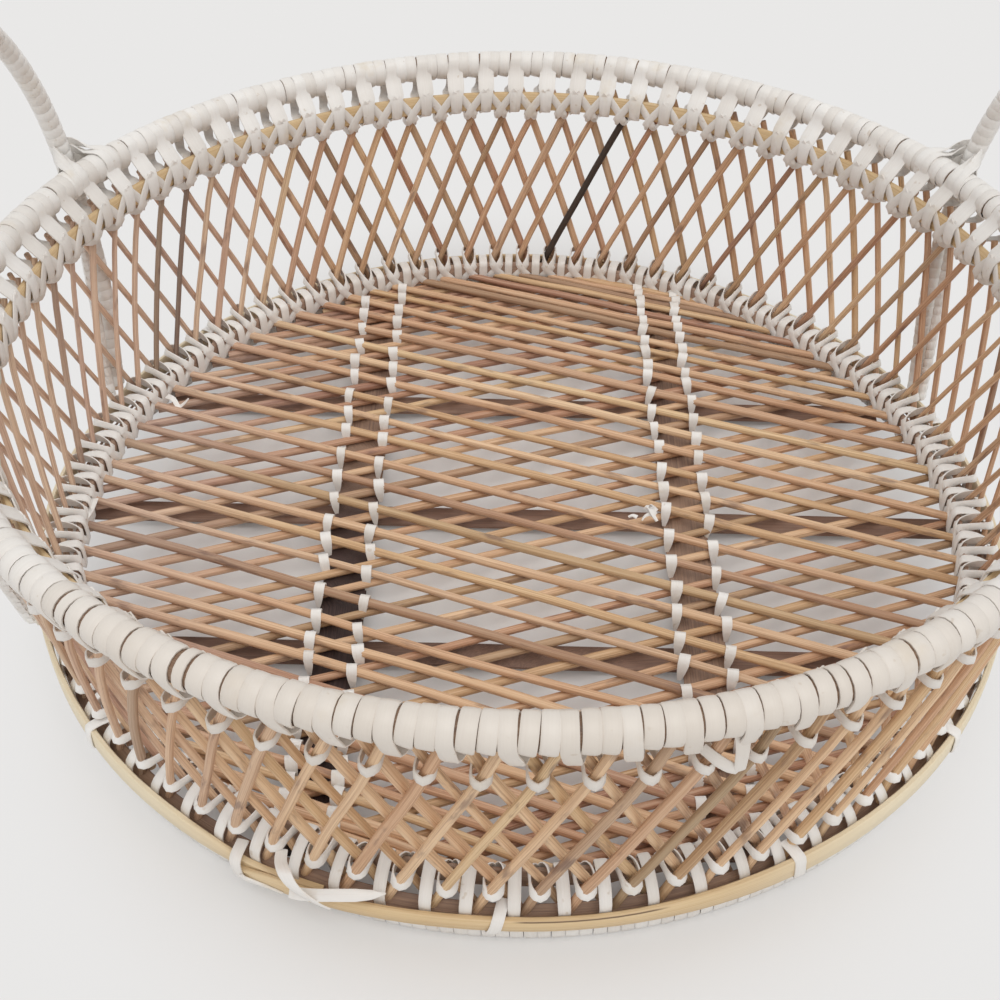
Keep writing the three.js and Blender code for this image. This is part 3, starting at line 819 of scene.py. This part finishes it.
def outer_base_hoop():
    """The outer hoop, whose outer end starts over the inner one and stands off."""
    weave = Weave(19)
    stations = 190
    path, widths = [], []
    for i in range(stations + 1):
        past = (2 * math.pi + LAP) * i / stations
        face, base, top = base_hoop_lie(past)
        angle = LAP_START + past
        sway = wander(3 * math.cos(angle), 0.8, 4)
        path.append(around(face - HOOP_THICK / 2 + sway, angle, (base + top) / 2))
        widths.append((top - base) / BASE_HOOP_TALL)
    faces = [outward(point) for point in path]
    weave.strand(path, hoop_outline(BASE_HOOP_TALL, HOOP_THICK), faces, 0.5, widths=widths)
    weave.finish("base_hoop_strip", "bamboo_hoop", "outer_base_hoop", sharp=50)


def hoop_ties():
    """Slanted strips over the outer hoop, from behind its top to under its lower edge."""
    weave = Weave(21)
    dice = weave.dice
    seen_drifts = (0, -3.1, -3.6, 0, -1.9)  # degrees that the photographed ties lie from an even spacing
    leans = (3.5, -5.0, 4.5, -3.5, -4.0)
    for i in range(HOOP_TIES):
        drift = seen_drifts[i] if i < len(seen_drifts) else dice.uniform(-2.5, 2.5)
        lean = leans[i] if i < len(leans) else dice.uniform(-4.5, 4.5)
        angle = math.radians(FIRST_HOOP_TIE + drift) + i * 2 * math.pi / HOOP_TIES
        face, base, top = base_hoop_lie((angle - LAP_START) % (2 * math.pi))
        face += 0.7
        top = max(top, BASE_HOOP_BASE + 6.5)
        shape = (
            (face - 9, top + 1.6),
            (face - 6, top + 1.7),
            (face - 2.6, top + 1.2),
            (face - 0.5, top - 0.2),
            (face, (base + top) / 2),
            (face, base + 1),
            (face - 0.7, base - 0.9),
            (face - 2.8, base - 1.6),
        )
        points = []
        for j, (radius, height) in enumerate(shape):
            slant = lean * (0.5 - j / (len(shape) - 1))
            points.append(around(radius, angle + slant / BASE_HOOP_RADIUS, height))
        weave.strip(points, -sideways(angle), dice.uniform(4.2, 4.9), tone=dice.uniform(0.4, 0.9))
    nodes = [f"base_hoop_tie_{i + 1:02d}" for i in range(HOOP_TIES)]
    weave.finish("base_hoop_ties", "peel", *nodes)


def foot_wraps():
    """Turns of peel round the foot, squarer than round ones so that they lie flat underneath."""
    weave = Weave(23)
    dice = weave.dice
    middle = FOOT_RADIUS - FOOT_WIDTH / 2
    reach, rise = FOOT_WIDTH / 2 - THIN_PEEL / 2, FOOT_TALL / 2 - THIN_PEEL / 2
    stations = 12
    for wrap in range(FOOT_WRAPS):
        angle = 2 * math.pi * wrap / FOOT_WRAPS + dice.uniform(-0.15, 0.15) / middle
        tilt = dice.uniform(1, 2.2) / middle
        path, faces = [], []
        for i in range(stations + 1):
            turn = math.pi - 2 * math.pi * i / stations
            along = math.copysign(abs(math.cos(turn)) ** 0.6, math.cos(turn))
            upwards = math.copysign(abs(math.sin(turn)) ** 0.6, math.sin(turn))
            slant = tilt * (i / stations - 0.5)
            point = around(middle + reach * along, angle + slant, FOOT_TALL / 2 + rise * upwards)
            path.append(point)
            faces.append(point - around(middle, angle, FOOT_TALL / 2))
        outline = strip_outline(dice.uniform(4.7, 5), THIN_PEEL)
        weave.strand(path, outline, faces, dice.uniform(0.3, 0.9))
    weave.finish("foot_wraps", "peel", "foot_binding")


def floor_layer(name, turn, height, seed, shade):
    """Parallel rods from node to node across the floor. Returns each rod's line for the ties."""
    weave = Weave(seed)
    dice = weave.dice
    axis = lower_node(0) + turn * STEP
    lines = []
    for i in range(1, FLOOR_RODS + 1):
        spread_angle = (i + 0.5) * STEP
        start = around(FLOOR_RADIUS, axis + spread_angle + dice.uniform(-0.14, 0.14) * STEP, height)
        end = around(FLOOR_RADIUS, axis - spread_angle + dice.uniform(-0.14, 0.14) * STEP, height)
        across = (end - start).cross(UP).normalized()
        bow = dice.uniform(-1.5, 1.5)
        path = []
        steps = max(4, round((end - start).length / 26))
        for j in range(steps + 1):
            share = j / steps
            sway = bow * math.sin(math.pi * share) + wander(share * 4, 1.8, i + seed * 50)
            path.append(start.lerp(end, share) + across * sway + UP * wander(share * 5, 0.3, i + seed * 90))
        radius = FLOOR_ROD_RADIUS * dice.uniform(0.82, 1.12)
        dark = dice.uniform(0.15, 0.4) if dice.random() < 0.12 else 0.0
        weave.strand(path, round_outline(radius, ROD_SIDES), UP, clamp(dice.gauss(shade, 0.2)), dark)
        lines.append(path)
    weave.finish(name, "rattan_rod", name, sharp=60)
    return lines


def slat(node, slot, seed, length, width, place, turn, tone):
    """A split slat with a slightly wavy edge, and a tone for each half."""
    weave = Weave(seed)
    steps = 24
    path = [Vector((length * (i / steps - 0.5), wander(i / 4, 0.8, seed), 0)) for i in range(steps + 1)]
    widths = [1 + wander(i / 5, 0.06, seed + 3) for i in range(steps + 1)]
    tones = [tone[0] + (tone[1] - tone[0]) * ease((i / steps - 0.35) / 0.3) for i in range(steps + 1)]
    weave.strand(path, strip_outline(width, SLAT_THICK), UP, tones, widths=widths)
    bmesh.ops.rotate(weave.bm, cent=(0, 0, 0), matrix=Matrix.Rotation(turn, 3, "Z"), verts=weave.bm.verts[:])
    bmesh.ops.translate(weave.bm, vec=place, verts=weave.bm.verts[:])
    weave.finish(f"{node}_strip", slot, node)


def floor_slats():
    foot_inside = FOOT_RADIUS - FOOT_WIDTH - 0.9
    turn = math.pi / 2 + SLAT_TURN
    for side, node, tone in ((-1, "left_floor_slat", (0.1, 0.95)), (1, "right_floor_slat", (0.85, 0.85))):
        length = 2 * math.sqrt(foot_inside ** 2 - (SLAT_OFFSET + SLAT_WIDTH / 2) ** 2)
        place = Matrix.Rotation(SLAT_TURN, 3, "Z") @ Vector((side * SLAT_OFFSET, 0, SLAT_HEIGHT))
        slat(node, "dark_cane", 31 + side, length, SLAT_WIDTH, place, turn, tone)
    rows = (
        (-1, "near_cross_slat", (0.3, 0.4)),
        (0, "middle_cross_slat", (0.5, 0.5)),
        (1, "far_cross_slat", (0.55, 0.55)),
    )
    for row, node, tone in rows:
        distance = CROSS_SLAT_PITCH * row
        length = 2 * math.sqrt(foot_inside ** 2 - (abs(distance) + CROSS_SLAT_WIDTH / 2) ** 2)
        place = Vector((0, distance, CROSS_SLAT_HEIGHT))
        slat(node, "grey_cane", 35 + row, length, CROSS_SLAT_WIDTH, place, 0, tone)


def crossing(path, column):
    """Where a rod's line crosses a slat's edge, which runs from front to back at x = column."""
    slope = math.tan(SLAT_TURN)
    for a, b in zip(path, path[1:]):
        first, second = a.x + a.y * slope - column, b.x + b.y * slope - column
        if first * second <= 0 and first != second:
            return a.lerp(b, first / (first - second))
    return None


def floor_ties(rods):
    """A loop of peel over every upper rod at both edges of each slat, narrow where it goes down."""
    columns = [side * SLAT_OFFSET + edge * SLAT_WIDTH / 2 for side in (-1, 1) for edge in (-1, 1)]
    # Aside and rise, over the rod from one side to the other
    shape = (
        (-3.3, -7.6), (-3.1, -3.4), (-2.5, 0.6), (-1.3, 2.3), (0, 2.8),
        (1.3, 2.2), (2.4, 0.6), (2.8, -3), (3, -7),
    )
    widths = (0.35, 0.75, 1, 1, 1, 1, 0.95, 0.8, 0.6)
    for number, column in enumerate(columns, 1):
        weave = Weave(40 + number)
        dice = weave.dice
        for path in rods:
            point = crossing(path, column)
            if point is None:
                continue
            point = point + Vector((dice.uniform(-0.8, 0.8), 0, 0))
            twist = dice.gauss(0, 0.12)
            along = Vector((math.sin(twist), math.cos(twist), 0))
            reach = dice.uniform(0.95, 1.2)
            points = []
            for aside, rise in shape:
                slip = Vector((0.5 * twist * rise, 0, 0))
                points.append(point + along * aside * reach + UP * rise + slip)
            width = TIE_WIDTH * dice.uniform(0.88, 1.12)
            weave.strip(points, UP.cross(along), width, steps=1, tone=dice.uniform(0.35, 1), widths=widths)
        weave.finish(f"floor_ties_{number}", "peel", f"floor_tie_{number}")


def loose_ends():
    """A frayed knot on one floor tie, and a curl and a tail of peel left at the floor's edge."""
    weave = Weave(72)
    knot = Vector((63.3, -13.1, 19.5))
    curls = (
        (((0, 0, 1.6), (-2.5, 3, 2.6), (-4, 4.6, 2.2), (-5, 4.4, 1)), 3),
        (((0, -1, 1.4), (-3, -0.4, 2), (-5.4, -1.6, 1.2), (-6.4, -3, 0.2)), 2.6),
        (((0.5, 2, 1.6), (-1.5, 3.2, 3), (-2.2, 1.2, 3.4), (-1.4, -1.8, 2.6), (0.4, -4.4, 1.2)), 4.2),
        (((-8.5, -1.2, 0.6), (-10.5, -0.4, 1), (-12.6, -0.9, 0.4)), 2.6),
    )
    for points, width in curls:
        taper = [1 - 0.6 * i / (len(points) - 1) for i in range(len(points))]
        curl = [knot + Vector(point) for point in points]
        weave.strip(curl, Vector((0.3, 1, 0)), width, 0.7, 3, 0.9, widths=taper)
    curl = ((-185, 73, 18), (-181, 70, 18.6), (-178, 67.5, 15.4), (-175.6, 69, 16.4), (-173.4, 71.6, 18))
    weave.strip(curl, Vector((0.4, 1, 0.3)), 2.8, 0.7, 3, 0.9, widths=(1, 1, 0.9, 0.7, 0.3))
    tail = ((-200.2, -10, 20), (-200.9, -17, 18.6), (-202, -24, 18.3), (-202.6, -31, 18))
    weave.strip(tail, Vector((1, 0, 0.2)), 3.2, 0.7, 3, 0.9, widths=(1, 1, 0.8, 0.4))
    weave.finish("loose_peel_ends", "peel")


def handle_line(side, turn):
    """The middle line of a handle, from one foot over the arch to the other."""
    rim = around(RIM_LEG_RADIUS, HANDLE_RIM_ANGLE, RIM_HEIGHT)
    waist_radius = wall_radius(HANDLE_WAIST_HEIGHT) + WALL_HALF + LEG_GAP
    leg = [
        around(LEG_FOOT_RADIUS, HANDLE_FOOT_ANGLE, HANDLE_FOOT_HEIGHT),
        around(waist_radius, HANDLE_WAIST_ANGLE, HANDLE_WAIST_HEIGHT),
    ]
    arch = []
    stretches = 10
    for i in range(stretches + 1):
        share = math.pi * i / stretches
        rise = HANDLE_RISE * math.sin(share)
        arch.append(Vector((rim.x + HANDLE_LEANS[side] * rise, rim.y * math.cos(share), RIM_HEIGHT + rise)))
    back = [Vector((point.x, -point.y, point.z)) for point in reversed(leg)]
    spin = Matrix.Rotation(turn, 3, "Z")
    return [spin @ point for point in smooth_path([*leg, *arch, *back], 8)]


def walk(path, pitch):
    """Points and directions along a path, one pitch apart."""
    spots = []
    due = pitch / 2
    for a, b in zip(path, path[1:]):
        length = (b - a).length
        while due <= length:
            spots.append((a.lerp(b, due / length), (b - a).normalized()))
            due += pitch
        due -= length
    return spots


def wind(weave, path, radius, pitch, width, thick, stations=10):
    """Turns of peel round a cane."""
    dice = weave.dice
    for centre, tangent in walk(path, pitch):
        first = tangent.cross(outward(centre)).normalized()
        second = tangent.cross(first)
        lean = pitch * dice.uniform(0.35, 0.65)
        points, faces = [], []
        for i in range(stations + 1):
            turn = 2 * math.pi * i / stations
            ring = first * math.cos(turn) + second * math.sin(turn)
            points.append(centre + ring * (radius - thick / 2) + tangent * lean * (i / stations - 0.5))
            faces.append(ring)
        outline = strip_outline(width * dice.uniform(0.95, 1.04), thick)
        weave.strand(points, outline, faces, dice.uniform(0.3, 0.95))


def handle(side, turn, seed):
    """A wrapped handle cane, with a strand beside each leg and a lashing where each leg passes the rim."""
    path = handle_line(side, turn)
    weave = Weave(seed)
    core = path[::2]
    weave.strand(core, round_outline(LEG_RADIUS - 1, 10), [outward(point) for point in core], 0.4)
    weave.finish(f"{side}_handle_core", "rattan_rod", f"{side}_handle_cane", sharp=60)
    weave = Weave(seed + 1)
    wind(weave, path, LEG_RADIUS, LEG_PITCH, 5.1, 0.9)
    weave.finish(f"{side}_handle_wraps", "peel", f"{side}_handle_binding")
    spin = Matrix.Rotation(turn, 3, "Z")
    for end, way in (("far", 1), ("near", -1)):
        mirrored = way if side == "right" else -way
        side_strand(side, end, spin, mirrored, seed + 2)
        rim_lashing(side, end, spin, mirrored, seed + 3)


def side_strand(side, end, spin, way, seed):
    """The slimmer wrapped cane beside a handle's leg."""
    weave = Weave(seed)
    gap = STRAND_RADIUS + CLEARANCE
    foot_radius = LEG_FOOT_RADIUS - LEG_GAP + gap
    start = around(foot_radius, way * (HANDLE_FOOT_ANGLE - STRAND_ANGLE), STRAND_FOOT)
    top_radius = wall_radius(STRAND_TOP) + WALL_HALF + gap
    stop = around(top_radius, way * (HANDLE_RIM_ANGLE - STRAND_ANGLE), STRAND_TOP)
    line = [spin @ start.lerp(stop, i / 30) for i in range(31)]
    wind(weave, line, STRAND_RADIUS + 0.1, STRAND_PITCH, STRAND_PITCH, THIN_PEEL, stations=8)
    core = line[::5]
    weave.strand(core, round_outline(STRAND_RADIUS - 0.7, 8), [outward(point) for point in core], 0.4)
    weave.finish(f"{side}_{end}_side_wraps", "peel", f"{side}_handle_{end}_side_strand")


def rim_lashing(side, end, spin, way, seed):
    """Strips that cross over the leg and go round the rim on both sides of it."""
    weave = Weave(seed)
    middle = way * HANDLE_RIM_ANGLE
    roll = RIM_ROLL + 0.5
    leg = RIM_LEG_RADIUS - RIM_RADIUS
    reach = leg + LEG_RADIUS + 0.6
    # Aside, away from the middle of the rim and height above it
    rows = (
        (-11.4, -roll * 0.85, -3.4), (-11.3, -roll * 0.85, 3), (-10.6, -1.4, roll), (-8, 5.6, 7.4),
        (-4.9, leg - 0.6, 9), (0, reach, 9), (4.9, leg - 0.4, 5.6), (8, leg - 5.2, 0.6), (9.8, 4.4, -5.4),
        (10.4, -2, -roll),
    )
    for slope in (-1, 1):
        for shift in (-1.9, 1.9):
            points, faces = [], []
            for aside, away, rise in rows:
                at = middle + aside * slope * (1 + shift / 11) / RIM_RADIUS
                height = RIM_HEIGHT + rise + 0.8 * shift * clamp(away / leg)
                point = spin @ around(RIM_RADIUS + away, at, height)
                centre = spin @ around(RIM_RADIUS, at, RIM_HEIGHT)
                if away > 0.6 * leg:
                    centre = spin @ around(RIM_LEG_RADIUS, middle, point.z)
                points.append(point)
                faces.append((point - centre).normalized())
            path = smooth_path(points, 3)
            weave.strand(path, strip_outline(5, THIN_PEEL), spread(faces, 3), weave.dice.uniform(0.6, 0.95))
    weave.finish(f"{side}_{end}_rim_straps", "peel", f"{side}_handle_{end}_rim_lashing")


def strip_along(weave, rows, width, widths, tip=0.0, tone=0.85):
    """A strip lying on the outside of the basket, through angles in degrees, radii and heights."""
    points = [around(radius, math.radians(angle), height) for angle, radius, height in rows]
    path = smooth_path(points, 3)
    faces = [outward(point) + UP * tip for point in path]
    weave.strand(path, strip_outline(width, 0.7), faces, tone, widths=spread(widths, 3))


def loose_strips():
    """Three strips at the hoop's lap: one over it, one that ends loose above it and one under its end."""
    weave = Weave(70)
    tangential = -sideways(math.radians(-110))
    over = (
        (-112.4, 216.0, 23.6), (-111.7, 221.0, 25.2), (-110.7, 225.2, 26.7), (-110.0, 227.0, 24.7),
        (-109.2, 227.6, 21.7), (-108.1, 227.4, 18.6), (-107.2, 226.6, 15.4), (-106.4, 225.6, 12.9),
    )
    points = [around(radius, math.radians(angle), height) for angle, radius, height in over]
    weave.strip(points, tangential, 4.7, 0.7, 3, 0.9, widths=(0.9, 0.95, 1, 1, 1, 0.85, 0.55, 0.12))
    along = (
        (-110.4, 225.6, 15.0), (-109.4, 225.8, 16.6), (-107.7, 225.5, 19.0), (-105.8, 224.8, 21.7),
        (-104.0, 223.4, 22.8), (-102.6, 221.6, 22.6), (-101.4, 219.8, 22.4),
    )
    strip_along(weave, along, 4.4, (0.9, 1, 1, 1, 1, 0.75, 0.12), tip=1.3)
    under = (
        (-115.7, 226.0, 12.5), (-115.2, 225.4, 10.6), (-114.3, 225.0, 10.4), (-113.0, 224.8, 10.6),
        (-111.4, 224.6, 10.2),
    )
    strip_along(weave, under, 2.6, (1, 0.9, 0.7, 0.5, 0.2))
    weave.finish("loose_strips", "peel", "loose_strip_end")


def forked_tie():
    """A Y-shaped tie that hangs from the near rim between two half loops."""
    weave = Weave(71)
    stem = ((-73.1, 233.9, 124.8), (-73.0, 234.6, 118.4), (-72.8, 233.8, 111.5), (-72.6, 232.6, 104.8))
    arm = ((-75.4, 227.5, 112.6), (-74.4, 231.4, 110.2), (-73.4, 232.6, 107), (-72.7, 232.5, 104.8))
    strip_along(weave, stem, 4.6, (1.2, 1, 0.95, 0.85))
    strip_along(weave, arm, 4.2, (0.9, 1, 1, 0.9))
    weave.finish("forked_tie", "peel", "near_rim_forked_tie")


def build_basket():
    wall_rods("inner_wall_rods", ROD_SHIFT, -LAYER_OFFSET, 1, DARK_INNER_RODS)
    wall_rods("outer_wall_rods", -ROD_SHIFT, LAYER_OFFSET, 2, DARK_OUTER_RODS)
    outline = round_outline(RIM_ROLL - PEEL - 0.15, 12)
    # Painted shade: the rim core's and the foot core's dark shares darken them where they show between the
    # turns.
    roll_core("rim_roll", 11, RIM_RADIUS, RIM_HEIGHT, outline, 0.75, 0.6)
    rim_wraps()
    hoop_wraps()
    upper_lacing()
    lower_lacing()
    base_straps()
    inner_hoops()
    dark_band()
    outer_base_hoop()
    hoop_ties()
    outline = round_outline(FOOT_CORE, 8)
    roll_core("foot_roll", 22, FOOT_RADIUS - FOOT_WIDTH / 2, FOOT_TALL / 2, outline, 0.8, 0.4)
    foot_wraps()
    floor_layer("lower_floor_rods", FLOOR_TURN, LOWER_FLOOR_HEIGHT, 5, 0.62)
    rods = floor_layer("upper_floor_rods", -FLOOR_TURN, UPPER_FLOOR_HEIGHT, 6, 0.42)
    floor_slats()
    floor_ties(rods)
    handle("right", HANDLE_TURN, 50)
    handle("left", math.pi + HANDLE_TURN, 60)
    loose_strips()
    forked_tie()
    loose_ends()


def pale_floor():
    bm = bmesh.new()
    bmesh.ops.create_grid(bm, x_segments=1, y_segments=1, size=6)
    add_piece("pale_floor", bm, floor_look())


def sky():
    """Even light all round, and a pale background where the camera sees past the floor."""
    world = bpy.data.worlds.new("studio")
    bpy.context.scene.world = world
    paint = Paint(world)
    light = Socket(paint, paint.tree.nodes["Background"].outputs["Background"])
    paint.feed(paint.tree.nodes["Background"].inputs["Color"], (0.97, 0.985, 1.0, 1))
    paint.feed(paint.tree.nodes["Background"].inputs["Strength"], 0.72)
    backdrop = paint.node("ShaderNodeBackground", {}, Color=colour(*PAPER), Strength=1.0)["Background"]
    shown = paint.node("ShaderNodeMixShader", {}, paint.seen_directly(), light, backdrop)["Shader"]
    paint.feed(paint.tree.nodes["World Output"].inputs["Surface"], shown)


def window_light():
    """A broad soft light from high up on the camera's side."""
    lamp = bpy.data.lights.new("window_light", "SUN")
    lamp.energy = 1.05
    lamp.angle = math.radians(60)
    lamp.color = (1.0, 0.97, 0.93)
    toward = Vector((-0.1, 0.36, -1))
    add_object("window_light", lamp).matrix_world = toward.to_track_quat("-Z", "Y").to_matrix().to_4x4()


def camera():
    """The photograph's view: position in metres, then pitch, turn and roll in radians."""
    place = Vector((0.00119, -0.46112, 0.42707))
    pitch, turn, roll = 0.7278, -0.0233, 0.0074
    ahead = Vector((math.sin(turn) * math.cos(pitch), math.cos(turn) * math.cos(pitch), -math.sin(pitch)))
    level = Vector((math.cos(turn), -math.sin(turn), 0))
    upright = level.cross(ahead)
    right = level * math.cos(roll) + upright * math.sin(roll)
    up = upright * math.cos(roll) - level * math.sin(roll)
    lens = bpy.data.cameras.new("camera")
    lens.sensor_width = 36
    lens.lens = 46.63
    view = add_object("camera", lens)
    rotation = Matrix((right, up, -ahead)).transposed()
    view.matrix_world = Matrix.Translation(place) @ rotation.to_4x4()
    bpy.context.scene.camera = view


bpy.context.scene.view_settings.view_transform = "Standard"
camera()
sky()
window_light()
pale_floor()
build_basket()
